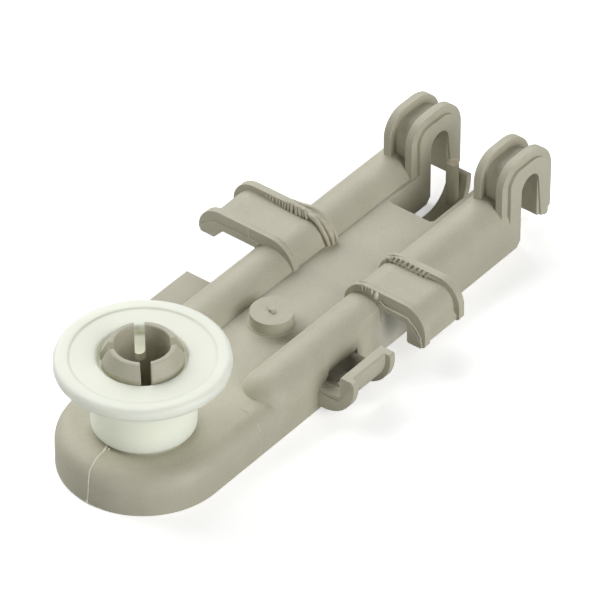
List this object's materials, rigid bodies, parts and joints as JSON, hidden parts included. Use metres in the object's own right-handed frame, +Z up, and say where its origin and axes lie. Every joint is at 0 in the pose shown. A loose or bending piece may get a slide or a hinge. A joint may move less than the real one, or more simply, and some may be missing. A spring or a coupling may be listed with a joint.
{
  "type": "dishwasher rack roller carrier",
  "caption": "Moulded rack-side bracket with clip straps, end hooks and a latch tongue, carrying a flanged roller that spins on a split snap axle.",
  "frame": {"origin": "middle of the underside of the whole part's box", "axes": "+Y along the body from the roller towards the hooks, +Z up along the roller axis, +X towards the J clip"},
  "size_m": [0.06, 0.1323, 0.0299],
  "materials": {
    "carrier_plastic": "fine matt moulding texture, beige grey",
    "roller_plastic": "smooth satin, milky translucent white"
  },
  "bodies": {
    "carrier": {"roller_carrier": "carrier_plastic"},
    "roller": {"roller": "roller_plastic"}
  },
  "joints": [
    {"name": "roller_spin", "type": "hinge", "parent": "carrier", "child": "roller", "pos_m": [0.0022, -0.04795, 0.017], "axis": [0, 0, 1], "continuous": true}
  ]
}
